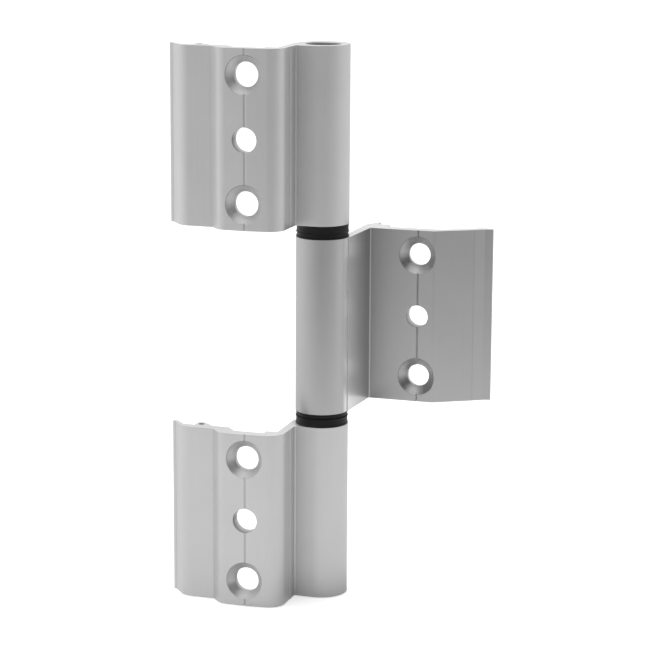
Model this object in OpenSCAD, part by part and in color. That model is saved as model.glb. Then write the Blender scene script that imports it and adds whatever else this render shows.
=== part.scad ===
// Three-leaf pivot hinge for aluminium doors: two outer leaves cut from one extruded section,
// a middle leaf cut from another, flanged nylon bushes in every knuckle and one steel pin.
// The pin axis is Z, with the lower end of the bottom knuckle at Z = 0. The hinge is drawn
// opened flat: the screw plates of all three leaves face -Y and their screws enter from -Y.

/* [Hinge] */
// Height of each leaf
leaf_h = 50; // [45:1:70]
// Space between two neighbouring knuckles, filled by the bush flanges
knuckle_gap = 3.8; // [3.4:0.1:6]

/* [Knuckle and pin] */
// Outside diameter of a knuckle
knuckle_d = 15; // [14.6:0.1:15.6]
// Bore of a knuckle, also the outside diameter of a bush sleeve
bore_d = 10; // [9.4:0.1:11]
// Diameter of the hinge pin
pin_d = 8; // [7:0.1:8.6]
// How far the pin ends stay inside the open ends of the outer knuckles
pin_recess = 9; // [4:0.5:14]

/* [Section of the leaves] */
// Distance from the pin axis to the near face of a screw plate
plate_near = 17.3; // [16.8:0.1:18]
// Thickness of a screw plate where its screws pass
plate_t = 3.6; // [3.2:0.1:4]
// Distance from the pin axis to the outer face of the middle neck, where it meets the plate
neck_out = 8.8; // [8.6:0.1:9.2]
// Thickness of the neck that joins the middle knuckle to its plate
neck_t = 2.7; // [2.3:0.1:3]
// Thickness of the neck that joins an outer knuckle to its plate
outer_neck_t = 2.5; // [2:0.1:2.8]
// Depth of the marking groove along the screw line
groove_depth = 0.3; // [0.1:0.05:0.5]

/* [Screw holes] */
// Distance between neighbouring screw holes
hole_pitch = 17.75; // [15:0.25:19]
// Distance from the pin axis to the screw line of an outer leaf
outer_hole_x = 16; // [15.6:0.1:16.4]
// Distance from the pin axis to the screw line of the middle leaf
middle_hole_x = 23; // [20:0.1:23.6]
// Screw holes of the outer leaves
outer_hole_d = 7; // [6:0.1:7.4]
// Screw holes of the middle leaf
middle_hole_d = 6.4; // [6:0.1:7.2]
// Rim of the 90 degree countersinks
countersink_d = 10.8; // [9:0.1:11.4]

/* [Bushes] */
// Length of a bush sleeve inside its knuckle
sleeve_l = 16; // [8:0.5:20]
// Thickness of the flange on an outer bush
outer_flange_t = 2.4; // [1.8:0.1:2.4]
// Radial play of the pin in the outer bushes
running_play = 0.05; // [0.02:0.01:0.1]
// Axial play between two flanges that meet
flange_play = 0.1; // [0.05:0.05:0.2]

/* [Hidden] */
$fn = 96;
cut = 0.5;
overlap = 0.1;
arc_past = 0.002;
knuckle_r = knuckle_d / 2;
bore_r = bore_d / 2;
pin_r = pin_d / 2;
mouth_chamfer = 0.2;
level = leaf_h + knuckle_gap;
hinge_h = 3 * leaf_h + 2 * knuckle_gap;
neck_in = neck_out - neck_t;
heel_x = knuckle_r + 0.2;
outer_neck_out = knuckle_r + 0.8;
outer_neck_in = outer_neck_out - outer_neck_t;
outer_waist_x = outer_neck_in - 0.15;
waist_x = neck_in - 0.4;
plate_far = plate_near + plate_t;

// Features shared by both sections
heel_y = 0;
heel_r = 0.15;
root_r = 0.5;

// Outer leaf: hump, step and turned lip in front, ledge on the neck, recess, bosses and
// hollow rib behind
hump_r = 4;
hump_drop = 1;
hump_end = 15;
elbow_r = 4.6;
ledge_front = 11.5;
ledge_back = 11;
step_top = 23.3;
step_foot = 26.6;
strip_front = plate_near + 0.1;
strip_back = 14.5;
lip_start = 35.7;
lip_root = 36.5;
lip_r = 4.5;
lip_inner = [-39.9, -10.9];
lip_tip = [-40.8, -11.6];
lip_outer = [-40.7, -12.1];
lip_under = [-39.8, -12.4];
rib_left = 33.2;
rib_right = 31.4;
rib_foot = 27.9;
rib_top = 11;
port = [-31.6, -13.1];
port_r = 0.85;
boss_y = 14.1;
boss_right = 23;
recess_left = 20.4;
recess_right = 11.6;
seat_y = 15;
edge_r = 0.3;
shoulder_r = 0.6;

// Middle leaf: shelf and barb behind the neck, plate that turns back and ends in a bead
shelf_y = 24.2;
shelf_end = 12.7;
shelf_foot = 13.2;
barb_tip_y = 27.5;
barb_side_y = 27.1;
barb_in = 9.2;
barb_out = 8.6;
barb_foot_y = 22.8;
bend_front = 27.8;
bend_back = 28.4;
bend_r = 2;
flap_front = [38.1, 23.3];
flap_back = [36.4, 24.9];
bead_under = [40.7, 25.1];
bead_nose = [43, 25.8];
bead_tip = [42.8, 26.9];
bead_top = [40.6, 27.5];
bead_back = [38.4, 26.9];

// Bush flanges
flange_r = knuckle_r - 0.05;
waist_r = knuckle_r - 0.2;
step_r = knuckle_r - 0.3;
lip_t = 0.4;
middle_flange_t = knuckle_gap - outer_flange_t - flange_play;
bush_chamfer = 0.5;
pin_chamfer = 0.8;

// Colours
anodised = "#b9b9b7";
nylon = "#232323";
steel = "#9a9a98";

function unit(v) = v / norm(v);

function xy(corner) = [corner[0], corner[1]];

function rounded(point, r) = [point[0], point[1], r];

// Centre of the arc of radius r that rounds corner q, between the corners p and n beside it
function arc_centre(p, q, n, r) =
    q + unit(unit(p - q) + unit(n - q)) * r / sin(acos(unit(p - q) * unit(n - q)) / 2);

// Distance from corner q to the two points where that arc touches the edges
function arc_reach(p, q, n, r) = r / tan(acos(unit(p - q) * unit(n - q)) / 2);

// True for a rounded corner that turns in, on an outline drawn anticlockwise
function turns_in(p, q, n, r) = r > 0 && cross(q - p, n - q) < 0;

// Corner q as the outline's polygon has it: bridged where it turns in, sharp elsewhere
function drawn_corner(p, q, n, r) =
    turns_in(p, q, n, r)
        ? [q + unit(p - q) * arc_reach(p, q, n, r), q + unit(n - q) * arc_reach(p, q, n, r)]
        : [q];

// What a true arc takes off corner q: the tip where it sticks out, the bow of the bridge where
// it turns in. The arc is carried a little past the edges so that it crosses them cleanly
module corner_cut(p, q, n, r) {
    centre = arc_centre(p, q, n, r);
    reach = arc_reach(p, q, n, r);
    if (turns_in(p, q, n, r))
        intersection() {
            polygon([q + unit(p - q) * reach, q, q + unit(n - q) * reach, centre]);
            translate(centre)
                circle(r = r + arc_past);
        }
    else
        difference() {
            polygon([q + unit(p - q) * reach, q + (q - centre) * overlap,
                     q + unit(n - q) * reach, centre]);
            translate(centre)
                circle(r = r + arc_past);
        }
}

// Closed outline through corners [x, y, r], drawn anticlockwise, each rounded by r unless it is 0
module outline(corners) {
    count = len(corners);
    before = [for (i = [0 : count - 1]) xy(corners[(i + count - 1) % count])];
    here = [for (i = [0 : count - 1]) xy(corners[i])];
    after = [for (i = [0 : count - 1]) xy(corners[(i + 1) % count])];
    difference() {
        polygon([for (i = [0 : count - 1])
            each drawn_corner(before[i], here[i], after[i], corners[i][2])]);
        for (i = [0 : count - 1])
            if (corners[i][2] > 0)
                corner_cut(before[i], here[i], after[i], corners[i][2]);
    }
}

// Small V groove that runs the full height, cut into a face at distance y from the axis
module marking_groove(x, y) {
    translate([x, y])
        polygon([[-groove_depth, 0], [0, groove_depth], [groove_depth, 0],
                 [groove_depth, -cut], [-groove_depth, -cut]]);
}

// Section of an outer leaf, plate to the left and in front of the pin
module outer_section() {
    difference() {
        union() {
            circle(r = knuckle_r);
            outline([
                [0, -knuckle_r, 0],
                [0, -heel_y, 0],
                [-outer_neck_out, -heel_y, heel_r],
                [-outer_neck_out, -seat_y, root_r],
                [-recess_right, -seat_y, 0],
                [-recess_right, -plate_near, 0],
                [-recess_left, -plate_near, 0],
                [-boss_right, -boss_y, shoulder_r],
                [-rib_foot, -boss_y, shoulder_r],
                [-rib_right, -rib_top, root_r],
                [-rib_left, -rib_top, edge_r],
                [-rib_left, -strip_back, 0],
                [-lip_root, -strip_back, 2 * root_r],
                rounded(lip_inner, edge_r),
                rounded(lip_tip, edge_r),
                rounded(lip_outer, 0),
                rounded(lip_under, 0),
                [-lip_start, -strip_front, lip_r],
                [-step_foot, -strip_front, 0],
                [-step_top, -plate_far, hump_r],
                [-hump_end, -plate_far, 0],
                [-outer_neck_in, -plate_far + hump_drop, elbow_r],
                [-outer_neck_in, -ledge_front, 0],
                [-outer_waist_x, -ledge_back, 0],
                [-outer_waist_x, -knuckle_r, root_r],
            ]);
        }
        circle(r = bore_r);
        translate(port)
            circle(r = port_r);
        marking_groove(-outer_hole_x, -plate_far);
    }
}

// Section of the middle leaf, plate to the right and behind the pin
module middle_section() {
    difference() {
        union() {
            circle(r = knuckle_r);
            outline([
                [0, knuckle_r, 0],
                [0, heel_y, 0],
                [heel_x, heel_y, heel_r],
                [neck_out, plate_near, root_r],
                [bend_front, plate_near, bend_r],
                rounded(flap_front, 0),
                rounded(bead_under, 0),
                rounded(bead_nose, edge_r),
                rounded(bead_tip, edge_r),
                rounded(bead_top, shoulder_r),
                rounded(bead_back, 0),
                rounded(flap_back, shoulder_r),
                [bend_back, plate_far, bend_r],
                [shelf_foot, plate_far, 0],
                [shelf_end, shelf_y, edge_r],
                [barb_in, shelf_y, 0],
                [barb_in, barb_side_y, 0],
                [barb_out, barb_tip_y, 0],
                [neck_in, barb_foot_y, 2 * root_r],
                [waist_x, knuckle_r, root_r],
            ]);
        }
        circle(r = bore_r);
        marking_groove(middle_hole_x, plate_near);
    }
}

// A leaf: its section cut to length, knuckle mouths eased, three screw holes in line
module leaf(hole_x, face_y, hole_d) {
    difference() {
        linear_extrude(height = leaf_h)
            children();
        for (end = [0, 1])
            translate([0, 0, end * leaf_h])
                mirror([0, 0, end])
                    translate([0, 0, -cut])
                        cylinder(h = mouth_chamfer + cut, r1 = bore_r + mouth_chamfer + cut, r2 = bore_r);
        for (step = [-1, 0, 1])
            translate([hole_x, face_y - cut, leaf_h / 2 + step * hole_pitch])
                rotate([-90, 0, 0])
                    screw_hole(hole_d, step != 0);
    }
}

// Screw hole along its own Z, entered from below, plain or with a 90 degree countersink
module screw_hole(hole_d, countersunk) {
    cylinder(h = plate_t + 2 * cut, d = hole_d);
    if (countersunk)
        cylinder(h = (countersink_d - hole_d) / 2 + cut,
                 d1 = countersink_d + 2 * cut, d2 = hole_d);
}

module outer_leaf() {
    color(anodised)
        leaf(-outer_hole_x, -plate_far, outer_hole_d)
            outer_section();
}

module bottom_leaf() {
    outer_leaf();
}

module top_leaf() {
    translate([0, 0, 2 * level])
        outer_leaf();
}

module middle_leaf() {
    translate([0, 0, level])
        color(anodised)
            leaf(middle_hole_x, plate_near, middle_hole_d)
                middle_section();
}

// Outer bush with its sleeve below Z = 0 and its flange above, waisted between two rims
module outer_bush() {
    hole_r = pin_r + running_play;
    color(nylon)
        rotate_extrude()
            polygon([
                [hole_r, -sleeve_l],
                [bore_r - bush_chamfer, -sleeve_l],
                [bore_r, -sleeve_l + bush_chamfer],
                [bore_r, 0],
                [flange_r, 0],
                [flange_r, lip_t],
                [waist_r, lip_t + 0.2],
                [waist_r, outer_flange_t - lip_t],
                [flange_r, outer_flange_t - 0.2],
                [flange_r, outer_flange_t],
                [hole_r, outer_flange_t],
            ]);
}

// Middle bush with its sleeve above Z = 0 and its flange below, one rim against the knuckle
module middle_bush() {
    color(nylon)
        rotate_extrude()
            polygon([
                [pin_r, sleeve_l],
                [bore_r - bush_chamfer, sleeve_l],
                [bore_r, sleeve_l - bush_chamfer],
                [bore_r, 0],
                [flange_r, 0],
                [flange_r, -lip_t],
                [step_r, -lip_t],
                [step_r, -middle_flange_t],
                [pin_r, -middle_flange_t],
            ]);
}

module bottom_bush() {
    translate([0, 0, leaf_h])
        outer_bush();
}

module lower_middle_bush() {
    translate([0, 0, level])
        middle_bush();
}

module upper_middle_bush() {
    translate([0, 0, level + leaf_h])
        mirror([0, 0, 1])
            middle_bush();
}

module top_bush() {
    translate([0, 0, 2 * level])
        mirror([0, 0, 1])
            outer_bush();
}

module hinge_pin() {
    color(steel)
        rotate_extrude()
            polygon([
                [0, pin_recess],
                [pin_r - pin_chamfer, pin_recess],
                [pin_r, pin_recess + pin_chamfer],
                [pin_r, hinge_h - pin_recess - pin_chamfer],
                [pin_r - pin_chamfer, hinge_h - pin_recess],
                [0, hinge_h - pin_recess],
            ]);
}

bottom_leaf();
middle_leaf();
top_leaf();
hinge_pin();
bottom_bush();
lower_middle_bush();
upper_middle_bush();
top_bush();
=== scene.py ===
"""Looks of a three-leaf pivot hinge: satin anodised extrusions, black nylon bushes, a drawn steel pin."""

import math

import bpy
import numpy as np
from mathutils import Matrix, Vector

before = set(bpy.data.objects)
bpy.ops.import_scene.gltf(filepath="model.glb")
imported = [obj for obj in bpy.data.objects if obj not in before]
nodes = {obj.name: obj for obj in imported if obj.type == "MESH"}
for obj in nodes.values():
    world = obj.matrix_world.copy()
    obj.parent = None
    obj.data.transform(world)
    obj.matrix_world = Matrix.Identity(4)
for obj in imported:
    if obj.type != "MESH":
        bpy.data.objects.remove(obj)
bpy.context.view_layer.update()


# ---------------------------------------------------------------------------
# Camera
# A long lens a little above the hinge, on the side that the screws enter and 17.5 degrees round
# towards the middle leaf. Its place was worked out from the hinge's own sizes.
# ---------------------------------------------------------------------------

MM = 0.001
# degrees that the camera, and all that is placed with it, stands round the pin axis
VIEW_TURN = 17.5
EYE_BACK = 658.7 * MM
EYE_UP = 218.8 * MM
YAW = math.radians(0.205)
PITCH = math.radians(12.13)
ROLL = math.radians(0.333)
FOCAL_LENGTH = 129.76
SENSOR_WIDTH = 36


def turned(x, y, z):
    """The point or direction x, y, z turned about the pin axis by VIEW_TURN, as the camera is."""
    return Matrix.Rotation(math.radians(VIEW_TURN), 3, "Z") @ Vector((x, y, z))


def look_axes():
    """Right, up and forward of a camera that starts along +Y and is turned right by YAW, tilted down
    by PITCH and rolled by ROLL."""
    forward = Vector((math.sin(YAW) * math.cos(PITCH), math.cos(YAW) * math.cos(PITCH), -math.sin(PITCH)))
    right = Vector((math.cos(YAW), -math.sin(YAW), 0))
    up = right.cross(forward)
    return (right * math.cos(ROLL) + up * math.sin(ROLL),
            up * math.cos(ROLL) - right * math.sin(ROLL),
            forward)


right, up, forward = (turned(*axis) for axis in look_axes())
eye = turned(0, -EYE_BACK, EYE_UP)
lens = bpy.data.cameras.new("camera")
lens.sensor_width = SENSOR_WIDTH
lens.lens = FOCAL_LENGTH
lens.clip_start = 0.01
lens.clip_end = 50
camera = bpy.data.objects.new("camera", lens)
camera.matrix_world = Matrix(((right.x, up.x, -forward.x, eye.x),
                              (right.y, up.y, -forward.y, eye.y),
                              (right.z, up.z, -forward.z, eye.z),
                              (0, 0, 0, 1)))
bpy.context.scene.collection.objects.link(camera)
bpy.context.scene.camera = camera


# ---------------------------------------------------------------------------
# Studio
# A white paper sweep, a soft light overhead and a room that is dimmer on the camera's side. The
# camera sees the paper and the backdrop as plain white, and only the hinge sees how dim the room is. In
# the hinge's reflections the paper also carries a painted pool of light round the hinge and a painted
# shadow at its foot.
# ---------------------------------------------------------------------------

# brightness of the room at places round the pin axis, as shares of a turn: 0 and 1 are behind the
# hinge, 0.5 is at the camera, and the camera's left comes first
ROOM = ((0.00, 1.00), (0.22, 1.20), (0.34, 0.86), (0.41, 0.62), (0.50, 0.48),
        (0.62, 0.64), (0.74, 1.03), (0.85, 1.08), (1.00, 1.00))
ROOM_PEAK = max(level for place, level in ROOM)

# the direction of an unlit gap between the overhead light and the room's right side, the cosines of
# the angles from it at which the gap begins and is darkest, and the share of light left there
GAP = tuple(turned(0.49, -0.53, 0.69))
GAP_BEGINS = 0.65
GAP_DARKEST = 0.92
GAP_LEVEL = 0.1

FLOOR_R = 3.0
FLOOR_SIDES = 96
FLOOR_DROP = 0.2 * MM
# distances from the pin axis over which the paper, as the metal sees it, brightens out of a painted
# shadow at the hinge's foot and then fades from a painted pool of light into the room, and its levels in
# the painted shadow and in the painted pool between the two
FOOT_SHADOW_NEAR, FOOT_SHADOW_FAR = 8 * MM, 32 * MM
SWEEP_NEAR, SWEEP_FAR = 150 * MM, 500 * MM
PAINTED_FOOT_SHADOW_LEVEL = 0.6
PAINTED_POOL_LEVEL = 0.98
# shares of that level which take the hinge's shadow and which don't, and what the camera sees added
GLOSS_SHADED = 0.8
GLOSS_EVEN = 0.34
PAPER_GLOW = 0.5

SOFTBOX_SIZE = 1.2
SOFTBOX_WATTS = 5.5
SOFTBOX_PLACE = turned(0, -0.2, 1.3)
HINGE_MIDDLE = Vector((0, 0, 80 * MM))

WHITE = (1, 1, 1, 1)


def linear(code):
    """The linear colour, with alpha 1, of an sRGB hex code such as "c8c8c6"."""
    parts = [int(code[i:i + 2], 16) / 255 for i in (0, 2, 4)]
    return tuple(c / 12.92 if c <= 0.04045 else ((c + 0.055) / 1.055) ** 2.4 for c in parts) + (1.0,)


def add(tree, kind, links=None, **settings):
    """Adds a node with those settings. links maps an input's name or number to a value, to another
    node's output socket, or to a node, which stands for its first output."""
    node = tree.nodes.new(kind)
    for name, value in settings.items():
        setattr(node, name, value)
    for name, value in (links or {}).items():
        source = value.outputs[0] if isinstance(value, bpy.types.Node) else value
        if isinstance(source, bpy.types.NodeSocket):
            tree.links.new(source, node.inputs[name])
        else:
            node.inputs[name].default_value = source
    return node


def new_material(name):
    """An empty node material and its tree."""
    material = bpy.data.materials.new(name)
    material.use_nodes = True
    material.node_tree.nodes.clear()
    return material, material.node_tree


def room_level(tree, direction):
    """Brightness of the room in that direction, which may be any length: the angle round the pin
    axis, as a share of a turn that starts behind the hinge, read off a smooth ramp through ROOM."""
    sideways = add(tree, "ShaderNodeVectorMath", {0: direction, 1: tuple(turned(1, 0, 0))},
                   operation="DOT_PRODUCT").outputs["Value"]
    towards = add(tree, "ShaderNodeVectorMath", {0: direction, 1: tuple(turned(0, -1, 0))},
                  operation="DOT_PRODUCT").outputs["Value"]
    angle = add(tree, "ShaderNodeMath", {0: sideways, 1: towards}, operation="ARCTAN2")
    share = add(tree, "ShaderNodeMapRange", {"Value": angle, "From Min": -math.pi, "From Max": math.pi})
    ramp = add(tree, "ShaderNodeValToRGB", {0: share})
    ramp.color_ramp.interpolation = "EASE"
    stops = ramp.color_ramp.elements
    for i, (place, level) in enumerate(ROOM):
        stop = stops[i] if i < len(stops) else stops.new(place)
        stop.position = place
        stop.color = (level / ROOM_PEAK, level / ROOM_PEAK, level / ROOM_PEAK, 1)
    return add(tree, "ShaderNodeMath", {0: ramp, 1: ROOM_PEAK}, operation="MULTIPLY")


world = bpy.data.worlds.new("studio")
world.use_nodes = True
bpy.context.scene.world = world
tree = world.node_tree
tree.nodes.clear()
path = add(tree, "ShaderNodeLightPath")
direction = add(tree, "ShaderNodeTexCoord").outputs["Generated"]
towards_gap = add(tree, "ShaderNodeVectorMath", {0: direction, 1: GAP},
                  operation="DOT_PRODUCT").outputs["Value"]
dusk = add(tree, "ShaderNodeMapRange",
           {"Value": towards_gap, "From Min": GAP_BEGINS, "From Max": GAP_DARKEST,
            "To Min": 1.0, "To Max": GAP_LEVEL}, interpolation_type="SMOOTHSTEP")
strength = add(tree, "ShaderNodeMath", {0: room_level(tree, direction), 1: dusk}, operation="MULTIPLY")
room = add(tree, "ShaderNodeBackground", {"Color": WHITE, "Strength": strength})
backdrop = add(tree, "ShaderNodeBackground", {"Color": WHITE, "Strength": 1.0})
both = add(tree, "ShaderNodeMixShader", {0: path.outputs["Is Camera Ray"], 1: room, 2: backdrop})
add(tree, "ShaderNodeOutputWorld", {"Surface": both})

# the sweep is one flat disc about the pin axis, just under the hinge
angles = np.linspace(0, 2 * math.pi, FLOOR_SIDES, endpoint=False)
edge = np.stack([FLOOR_R * np.cos(angles), FLOOR_R * np.sin(angles), np.zeros_like(angles)], axis=1)
floor_mesh = bpy.data.meshes.new("floor")
floor_mesh.from_pydata(edge.tolist(), [], [list(range(len(edge)))])
floor = bpy.data.objects.new("floor", floor_mesh)
floor.location.z = -FLOOR_DROP
bpy.context.scene.collection.objects.link(floor)

# uncoated paper: it has no gloss of its own, so all the camera sees on it is the hinge's soft contact
# shadow; as the metal sees it, it carries a painted shadow at the hinge's foot and a painted pool of
# light round the hinge that fades into the room
paper, tree = new_material("white_paper_sweep_painted_light")
path = add(tree, "ShaderNodeLightPath")
place = add(tree, "ShaderNodeTexCoord").outputs["Object"]
far = add(tree, "ShaderNodeVectorMath", {0: place}, operation="LENGTH").outputs["Value"]
# painted pool of light round the hinge and painted shadow at its foot, seen only in the metal
away = add(tree, "ShaderNodeMapRange", {"Value": far, "From Min": SWEEP_NEAR, "From Max": SWEEP_FAR},
           interpolation_type="SMOOTHSTEP")
painted_foot_shadow = add(tree, "ShaderNodeMapRange", {"Value": far, "From Min": FOOT_SHADOW_NEAR, "From Max": FOOT_SHADOW_FAR,
                                        "To Min": PAINTED_FOOT_SHADOW_LEVEL, "To Max": PAINTED_POOL_LEVEL})
painted_floor_light = add(tree, "ShaderNodeMix", {"Factor": away, "A": painted_foot_shadow, "B": room_level(tree, place)},
            data_type="FLOAT")
matt = add(tree, "ShaderNodeBsdfDiffuse", {"Color": linear("f0f0f0")})
glow = add(tree, "ShaderNodeEmission", {"Color": WHITE, "Strength": PAPER_GLOW})
seen = add(tree, "ShaderNodeAddShader", {0: matt, 1: glow})
shaded = add(tree, "ShaderNodeMath", {0: painted_floor_light, 1: GLOSS_SHADED}, operation="MULTIPLY")
even = add(tree, "ShaderNodeMath", {0: painted_floor_light, 1: GLOSS_EVEN}, operation="MULTIPLY")
mirrored = add(tree, "ShaderNodeAddShader", {
    0: add(tree, "ShaderNodeBsdfDiffuse", {"Color": shaded}),
    1: add(tree, "ShaderNodeEmission", {"Color": WHITE, "Strength": even})})
unseen = add(tree, "ShaderNodeMixShader", {0: path.outputs["Is Glossy Ray"], 1: matt, 2: mirrored})
sweep = add(tree, "ShaderNodeMixShader", {0: path.outputs["Is Camera Ray"], 1: unseen, 2: seen})
add(tree, "ShaderNodeOutputMaterial", {"Surface": sweep})
floor_mesh.materials.append(paper)

softbox = bpy.data.lights.new("overhead", "AREA")
softbox.size = SOFTBOX_SIZE
softbox.energy = SOFTBOX_WATTS
overhead = bpy.data.objects.new("overhead", softbox)
overhead.location = SOFTBOX_PLACE
overhead.rotation_euler = (HINGE_MIDDLE - SOFTBOX_PLACE).to_track_quat("-Z", "Y").to_euler()
bpy.context.scene.collection.objects.link(overhead)


# ---------------------------------------------------------------------------
# Leaves
# Three lengths of extruded aluminium alloy, sawn off, drilled and countersunk, then natural
# anodised. The outer two share one section, and the middle one has its own.
# ---------------------------------------------------------------------------

# from one leaf's lower end to the next one's, and up each leaf to its middle screw
LEAF_STEP = 53.8 * MM
SCREW_MIDDLE = 25 * MM
SCREW_PITCH = 17.75 * MM
COUNTERSINK_R = 5.4 * MM
HOLE_R = 3.8 * MM
EDGE_R = 0.2 * MM

# the grain of each pattern: die lines, whose scale along Z is a small share of that across, blotches
# in the oxide, its etched grain, which is drawn coarser than it is, and the countersink cutter's rings
DIE_LINE = 0.714 * MM
DIE_LINE_DRAWN = 0.012
BLOTCH = 11.1 * MM
ETCH = 0.111 * MM
CUTTER_RING = 0.588 * MM
# where nearly all of a noise texture's values lie
NOISE_SPAN = {"From Min": 0.3, "From Max": 0.7}

# half the width of a countersink's rim, of the marking groove and of the painted shade line along a crease
RIM_REACH = 0.14 * MM
GROOVE_REACH = 0.6 * MM
SHADE_LINE_REACH = 0.15 * MM
# how far below the face the rim goes, and how far up and left of the screw the rim's painted shade starts
# and is full
RIM_DEPTH = 0.5 * MM
RIM_SHADE_NONE, RIM_SHADE_FULL = -2 * MM, 3 * MM
# how far the painted shade in an inside corner reaches, the depths between which the painted shade on a
# drilled wall fades out from the hole's mouth, and how far from the pin axis the neck's painted highlight
# starts
CORNER_SHADE_REACH = 1.2 * MM
MOUTH_DEPTH, WALL_DEPTH = 0.3 * MM, 3.4 * MM
NECK_HIGHLIGHT_START = 14 * MM

# how far the brightness swings up and down with the lines and the rings, and the roughness with the
# lines, then the share of the brightness that is left under the painted shade on the rim's upper left,
# along the painted shade line, at hole mouths and in inside corners
LINE_SWING = 0.015
RING_SWING = 0.05
BLUR_SWING = 0.035
RIM_SHADE_LEVEL = 0.7
SHADE_LINE_LEVEL = 0.9
CORNER_SHADE_LEVEL = 0.6
MOUTH_SHADE_LEVEL = 0.32


def anodised_aluminium(name, tone, metal_share, blur, cone_tone, cone_share,
                       screw_x, face_y, shade_line_x, neck_highlight):
    """Aluminium extruded along Z and natural anodised. The oxide is clear but etched, so the eye gets
    a silvery grey satin, with streaks of light along the leaf, faint lines along it and paler sawn
    ends. tone, metal_share and blur are the skin's, cone_tone and cone_share the countersinks'. The
    screws stand at x = screw_x and enter at y = face_y, a faint line of painted shade runs along a crease
    at x = shade_line_x, and a painted highlight brightens the neck's outer face by the share
    neck_highlight towards the knuckle. The skin also carries painted shade on the countersinks' rims,
    at the hole mouths and in inside corners."""
    material, tree = new_material(name)
    coords = add(tree, "ShaderNodeTexCoord")
    place = coords.outputs["Object"]
    at = add(tree, "ShaderNodeSeparateXYZ", {0: place}).outputs
    normal = add(tree, "ShaderNodeSeparateXYZ", {0: coords.outputs["Normal"]}).outputs
    facing_y = add(tree, "ShaderNodeMath", {0: normal["Y"]}, operation="ABSOLUTE")
    facing_z = add(tree, "ShaderNodeMath", {0: normal["Z"]}, operation="ABSOLUTE")

    # place beside and inside the nearest screw hole
    in_leaf = add(tree, "ShaderNodeMath", {0: at["Z"], 1: LEAF_STEP}, operation="FLOORED_MODULO")
    from_middle = add(tree, "ShaderNodeMath", {0: in_leaf, 1: SCREW_MIDDLE}, operation="SUBTRACT")
    beside_z = add(tree, "ShaderNodeMath", {0: from_middle, 1: SCREW_PITCH / 2, 2: -SCREW_PITCH / 2},
                   operation="WRAP")
    beside_x = add(tree, "ShaderNodeMath", {0: at["X"], 1: screw_x}, operation="SUBTRACT")
    beside = add(tree, "ShaderNodeCombineXYZ", {"X": beside_x, "Z": beside_z})
    radius = add(tree, "ShaderNodeVectorMath", {0: beside}, operation="LENGTH").outputs["Value"]
    depth = add(tree, "ShaderNodeMath", {0: at["Y"], 1: face_y}, operation="SUBTRACT")

    # which surface it is: a countersink's cone, which faces its screw at 45 degrees, the cone's rim,
    # a drilled wall, the marking groove or a sawn end
    off_middle = add(tree, "ShaderNodeMath", {0: from_middle}, operation="ABSOLUTE")
    outer_hole = add(tree, "ShaderNodeMath", {0: off_middle, 1: SCREW_PITCH / 2}, operation="GREATER_THAN")
    sloped = add(tree, "ShaderNodeMath", {0: facing_y, 1: math.cos(math.radians(45)), 2: 0.05},
                 operation="COMPARE")
    inside = add(tree, "ShaderNodeMath", {0: radius, 1: COUNTERSINK_R}, operation="LESS_THAN")
    sunk = add(tree, "ShaderNodeMath", {0: inside, 1: outer_hole}, operation="MULTIPLY")
    cone = add(tree, "ShaderNodeMath", {0: sloped, 1: sunk}, operation="MULTIPLY")
    circle = add(tree, "ShaderNodeMath", {0: radius, 1: COUNTERSINK_R, 2: RIM_REACH}, operation="COMPARE")
    shallow = add(tree, "ShaderNodeMath", {0: depth, 1: RIM_DEPTH}, operation="LESS_THAN")
    front_rim = add(tree, "ShaderNodeMath", {0: circle, 1: shallow}, operation="MULTIPLY")
    rim = add(tree, "ShaderNodeMath", {0: front_rim, 1: outer_hole}, operation="MULTIPLY")
    bored = add(tree, "ShaderNodeMath", {0: radius, 1: HOLE_R}, operation="LESS_THAN")
    upright = add(tree, "ShaderNodeMath", {0: facing_y, 1: 0.3}, operation="LESS_THAN")
    drilled = add(tree, "ShaderNodeMath", {0: bored, 1: upright}, operation="MULTIPLY")
    groove = add(tree, "ShaderNodeMath", {0: at["X"], 1: screw_x, 2: GROOVE_REACH}, operation="COMPARE")
    square = add(tree, "ShaderNodeMapRange", {"Value": facing_z, "From Min": 0.9, "From Max": 0.98})
    sawn = add(tree, "ShaderNodeMath", {0: square, 1: bored}, operation="SUBTRACT", use_clamp=True)

    drawn_out = add(tree, "ShaderNodeMapping", {"Vector": place, "Scale": (1, 1, DIE_LINE_DRAWN)})
    lines = add(tree, "ShaderNodeTexNoise", {"Vector": drawn_out, "Scale": 1 / DIE_LINE, "Detail": 3.0,
                                             "Roughness": 0.6})
    blotches = add(tree, "ShaderNodeTexNoise", {"Vector": place, "Scale": 1 / BLOTCH, "Detail": 2.0})
    etching = add(tree, "ShaderNodeTexNoise", {"Vector": place, "Scale": 1 / ETCH, "Detail": 1.0})
    rings = add(tree, "ShaderNodeTexNoise", {"W": radius, "Scale": 1 / CUTTER_RING, "Detail": 2.0},
                noise_dimensions="1D")

    # shares of the skin's brightness: lines and blotches everywhere, and rings on the cones
    streaked = add(tree, "ShaderNodeMapRange", {"Value": lines, **NOISE_SPAN,
                                                "To Min": 1 - LINE_SWING, "To Max": 1 + LINE_SWING})
    clouded = add(tree, "ShaderNodeMapRange", {"Value": blotches, **NOISE_SPAN,
                                               "To Min": 1 - LINE_SWING, "To Max": 1 + LINE_SWING})
    ringed = add(tree, "ShaderNodeMapRange", {"Value": rings, **NOISE_SPAN,
                                              "To Min": 1 - RING_SWING, "To Max": 1 + RING_SWING})
    on_cone = add(tree, "ShaderNodeMix", {"Factor": cone, "A": 1.0, "B": ringed}, data_type="FLOAT")
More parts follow.
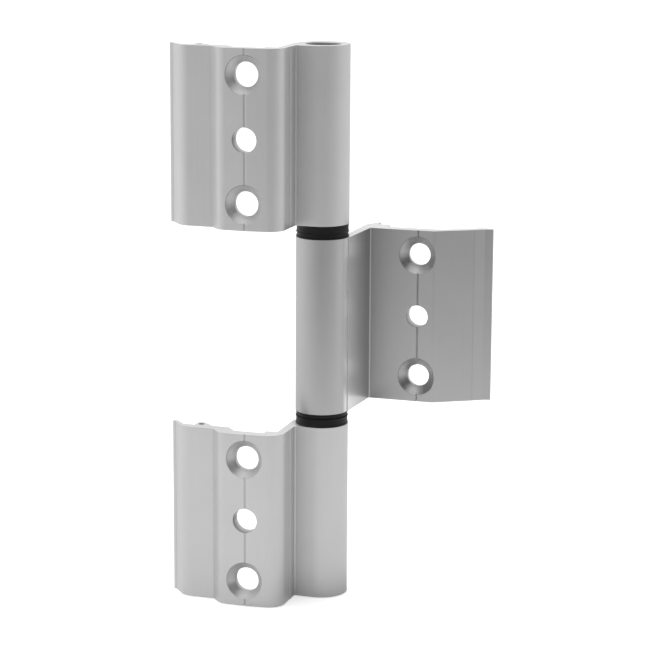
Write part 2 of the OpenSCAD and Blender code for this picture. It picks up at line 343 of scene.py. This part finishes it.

    # painted shade on the rim's upper left, a painted shade line along a crease in the face, and painted
    # shade at hole mouths and in inside corners, from which the cones and the groove are spared
    up_left = add(tree, "ShaderNodeMath", {0: beside_z, 1: beside_x}, operation="SUBTRACT")
    # painted shade on the upper-left side of the countersink's rim
    painted_rim_shade = add(tree, "ShaderNodeMapRange", {"Value": up_left, "From Min": RIM_SHADE_NONE, "From Max": RIM_SHADE_FULL,
                                            "To Min": 1.0, "To Max": RIM_SHADE_LEVEL})
    rim_shade = add(tree, "ShaderNodeMix", {"Factor": rim, "A": 1.0, "B": painted_rim_shade}, data_type="FLOAT")
    # a faint line of painted shade along a crease in the face
    along_shade_line = add(tree, "ShaderNodeMath", {0: at["X"], 1: shade_line_x, 2: SHADE_LINE_REACH}, operation="COMPARE")
    painted_line_shade = add(tree, "ShaderNodeMapRange", {"Value": along_shade_line, "To Min": 1.0, "To Max": SHADE_LINE_LEVEL})
    # painted shade in inside corners, from ambient occlusion
    open_sky = add(tree, "ShaderNodeAmbientOcclusion", {"Distance": CORNER_SHADE_REACH}, samples=8,
                   only_local=True).outputs["AO"]
    painted_corner_shade = add(tree, "ShaderNodeMapRange", {"Value": open_sky, "From Min": 0.3, "From Max": 0.9,
                                              "To Min": CORNER_SHADE_LEVEL, "To Max": 1.0})
    spared = add(tree, "ShaderNodeMath", {0: cone, 1: groove}, operation="MAXIMUM")
    corner_shade = add(tree, "ShaderNodeMix", {"Factor": spared, "A": painted_corner_shade, "B": 1.0}, data_type="FLOAT")
    # painted shade on the drilled walls, darkest at the hole's mouth
    painted_mouth_shade = add(tree, "ShaderNodeMapRange", {"Value": depth, "From Min": MOUTH_DEPTH, "From Max": WALL_DEPTH,
                                             "To Min": MOUTH_SHADE_LEVEL, "To Max": 1.0})
    wall_shade = add(tree, "ShaderNodeMix", {"Factor": drilled, "A": 1.0, "B": painted_mouth_shade}, data_type="FLOAT")

    # a painted highlight on the neck's outer face, which faces +X, stronger nearer the knuckle
    sideways = add(tree, "ShaderNodeMapRange", {"Value": normal["X"], "From Min": 0.94, "From Max": 0.995})
    near_pin = add(tree, "ShaderNodeMapRange", {"Value": at["Y"], "From Min": NECK_HIGHLIGHT_START, "From Max": 0.0,
                                                "To Max": neck_highlight})
    painted_neck_highlight = add(tree, "ShaderNodeMath", {0: sideways, 1: near_pin, 2: 1.0}, operation="MULTIPLY_ADD")

    brightness = streaked
    for share in (clouded, on_cone, rim_shade, painted_line_shade, corner_shade, wall_shade, painted_neck_highlight):
        brightness = add(tree, "ShaderNodeMath", {0: brightness, 1: share}, operation="MULTIPLY")
    metal_tone = add(tree, "ShaderNodeMix", {"Factor": cone, "A": linear(tone), "B": linear(cone_tone)},
                     data_type="RGBA").outputs["Result"]
    skin = add(tree, "ShaderNodeVectorMath", {0: metal_tone, "Scale": brightness}, operation="SCALE")
    colour = add(tree, "ShaderNodeMix", {"Factor": sawn, "A": skin, "B": linear("dcdcdc")},
                 data_type="RGBA").outputs["Result"]

    texture = add(tree, "ShaderNodeMath", {0: lines, 1: etching}, operation="ADD")
    rounded = add(tree, "ShaderNodeBevel", {"Radius": EDGE_R}, samples=4)
    grain = add(tree, "ShaderNodeBump", {"Height": texture, "Strength": 0.05, "Distance": 0.02 * MM,
                                         "Normal": rounded})
    ridges = add(tree, "ShaderNodeMath", {0: rings, 1: cone}, operation="MULTIPLY")
    relief = add(tree, "ShaderNodeBump", {"Height": ridges, "Strength": 0.5, "Distance": 0.08 * MM,
                                          "Normal": grain})

    # the die lines spread each light sideways, so the gloss is anisotropic about the pin axis
    metallic = add(tree, "ShaderNodeMix", {"Factor": cone, "A": metal_share, "B": cone_share},
                   data_type="FLOAT")
    roughness = add(tree, "ShaderNodeMapRange", {"Value": lines, **NOISE_SPAN,
                                                 "To Min": blur - BLUR_SWING, "To Max": blur + BLUR_SWING})
    across = add(tree, "ShaderNodeTangent", direction_type="RADIAL", axis="Z")
    metal = add(tree, "ShaderNodeBsdfPrincipled",
                {"Base Color": colour, "Metallic": metallic, "Roughness": roughness, "Normal": relief,
                 "Anisotropic": 0.7, "Tangent": across})
    add(tree, "ShaderNodeOutputMaterial", {"Surface": metal})
    return material


def dress(node, material):
    """Gives a CAD node that one material."""
    mesh = nodes[node].data
    mesh.materials.clear()
    mesh.materials.append(material)


# the outer leaves look milkier, so a quarter of their skin is diffuse; the middle one is all metal
outer_finish = anodised_aluminium(
    "natural_anodised_outer_leaves", tone="cbcbcb", metal_share=0.75, blur=0.40,
    cone_tone="c4c4c4", cone_share=0.55,
    screw_x=-16 * MM, face_y=-20.9 * MM, shade_line_x=-39.8 * MM, neck_highlight=0.0)
middle_finish = anodised_aluminium(
    "natural_anodised_middle_leaf", tone="adadad", metal_share=1.0, blur=0.33,
    cone_tone="b0b0b0", cone_share=0.75,
    screw_x=23 * MM, face_y=17.3 * MM, shade_line_x=38.1 * MM, neck_highlight=0.75)
dress("bottom_leaf", outer_finish)
dress("top_leaf", outer_finish)
dress("middle_leaf", middle_finish)


# ---------------------------------------------------------------------------
# Bushes
# Injection moulded nylon, black right through, pressed into the knuckles. Their flanges keep the
# knuckles apart, so they show as thin black rings.
# ---------------------------------------------------------------------------

PEBBLE = 0.4 * MM
HAZE = 3.33 * MM
BUSH_EDGE_R = 0.1 * MM

# moulded nylon: a fine pebble breaks up its gloss, and a slight haze keeps the black from looking wet
nylon, tree = new_material("moulded_black_nylon")
place = add(tree, "ShaderNodeTexCoord").outputs["Object"]
pebble = add(tree, "ShaderNodeTexNoise", {"Vector": place, "Scale": 1 / PEBBLE, "Detail": 2.0})
haze = add(tree, "ShaderNodeTexNoise", {"Vector": place, "Scale": 1 / HAZE, "Detail": 2.0})
tone = add(tree, "ShaderNodeMix", {"Factor": haze, "A": linear("0d0d0d"), "B": linear("151515")},
           data_type="RGBA").outputs["Result"]
rounded = add(tree, "ShaderNodeBevel", {"Radius": BUSH_EDGE_R}, samples=4)
bump = add(tree, "ShaderNodeBump", {"Height": pebble, "Strength": 0.2, "Distance": 0.03 * MM,
                                    "Normal": rounded})
plastic = add(tree, "ShaderNodeBsdfPrincipled", {"Base Color": tone, "Roughness": 0.5, "IOR": 1.53,
                                                 "Specular IOR Level": 0.2, "Normal": bump})
add(tree, "ShaderNodeOutputMaterial", {"Surface": plastic})
for bush in ("bottom_bush", "lower_middle_bush", "upper_middle_bush", "top_bush"):
    dress(bush, nylon)


# ---------------------------------------------------------------------------
# Pin
# Cold drawn steel bar, cut to length and chamfered, pressed through the middle bushes. Only its
# ends show, down inside the open knuckles.
# ---------------------------------------------------------------------------

DRAW_LINE = 0.333 * MM
DRAW_LINE_DRAWN = 0.02

# bare bright steel: fine lines along the bar from the drawing die, and a slightly warm grey
steel, tree = new_material("cold_drawn_steel")
place = add(tree, "ShaderNodeTexCoord").outputs["Object"]
long = add(tree, "ShaderNodeMapping", {"Vector": place, "Scale": (1, 1, DRAW_LINE_DRAWN)})
draw = add(tree, "ShaderNodeTexNoise", {"Vector": long, "Scale": 1 / DRAW_LINE, "Detail": 3.0})
rough = add(tree, "ShaderNodeMapRange", {"Value": draw, "To Min": 0.25, "To Max": 0.45})
tint = add(tree, "ShaderNodeMix", {"Factor": draw, "A": linear("8c8b89"), "B": linear("a3a2a0")},
           data_type="RGBA").outputs["Result"]
bar = add(tree, "ShaderNodeBsdfPrincipled", {"Base Color": tint, "Metallic": 1.0, "Roughness": rough})
add(tree, "ShaderNodeOutputMaterial", {"Surface": bar})
dress("hinge_pin", steel)


bpy.context.scene.view_settings.view_transform = "Standard"
